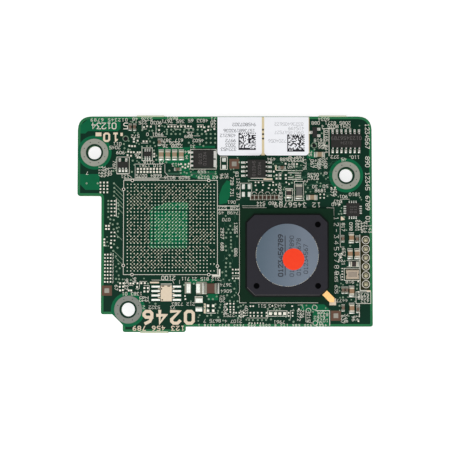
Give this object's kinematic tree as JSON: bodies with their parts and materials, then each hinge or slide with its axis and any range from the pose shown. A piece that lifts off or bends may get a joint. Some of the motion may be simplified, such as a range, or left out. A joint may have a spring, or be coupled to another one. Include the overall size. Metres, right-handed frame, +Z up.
{
  "type": "mezzanine network card",
  "caption": "Green mezzanine network card with a large ball-grid chip, an empty chip place, small surface-mount parts and a board connector underneath.",
  "frame": {"origin": "middle of the card's outline, on the plane of the connector's mating face below the board", "axes": "+X along the long side, +Y towards the long edge that carries the labels, +Z up from the component side"},
  "size_m": [0.0852, 0.0628, 0.0089],
  "materials": {
    "board": "green solder mask over glass laminate, semi-gloss",
    "land": "tinned copper, satin",
    "solder": "bright solder",
    "substrate": "dark green laminate, semi-gloss",
    "mould": "black mould compound, matt",
    "slug": "plated heat slug, satin",
    "gold": "gold plating, bright",
    "red_paper": "fluorescent paper sticker, matt",
    "white_paper": "white paper label, satin",
    "package": "black mould compound, matt",
    "lead": "tinned lead, bright",
    "crystal_ceramic": "glazed tan ceramic",
    "crystal_metal": "plated lid, satin",
    "tan_ceramic": "tan ceramic, matt",
    "dark_ceramic": "dark coat on ceramic, satin",
    "brown_ceramic": "brown ceramic, matt",
    "ferrite": "grey ferrite, satin",
    "tin": "tinned ends, bright",
    "connector_plastic": "black moulded plastic"
  },
  "bodies": {
    "root": {"circuit_board": "board", "hole_lands_top": "land", "pin_solder": "solder", "chip_balls": "solder", "chip_substrate": "substrate", "chip_cap": "mould", "chip_slug": "slug", "chip_gate": "gold", "dot_label": "red_paper", "label_left": "white_paper", "label_right": "white_paper", "logic_body": "package", "logic_leads": "lead", "flash_body": "package", "flash_leads": "lead", "regulator_body": "package", "regulator_leads": "lead", "buffer_body": "package", "buffer_leads": "lead", "transistor_body": "package", "transistor_leads": "lead", "switch_body": "package", "switch_contacts": "lead", "clock_body": "package", "clock_contacts": "lead", "crystal_case": "crystal_ceramic", "crystal_lid": "crystal_metal", "capacitor_bodies": "tan_ceramic", "capacitor_ends": "tin", "resistor_bodies": "dark_ceramic", "resistor_ends": "tin", "small_bodies": "tan_ceramic", "small_ends": "tin", "inductor_body": "ferrite", "inductor_ends": "tin", "bulk_body": "brown_ceramic", "bulk_ends": "tin", "align_targets": "land", "bare_pads": "solder", "under_bodies": "tan_ceramic", "under_ends": "tin", "connector_housing": "connector_plastic", "connector_contacts": "gold"}
  },
  "joints": []
}
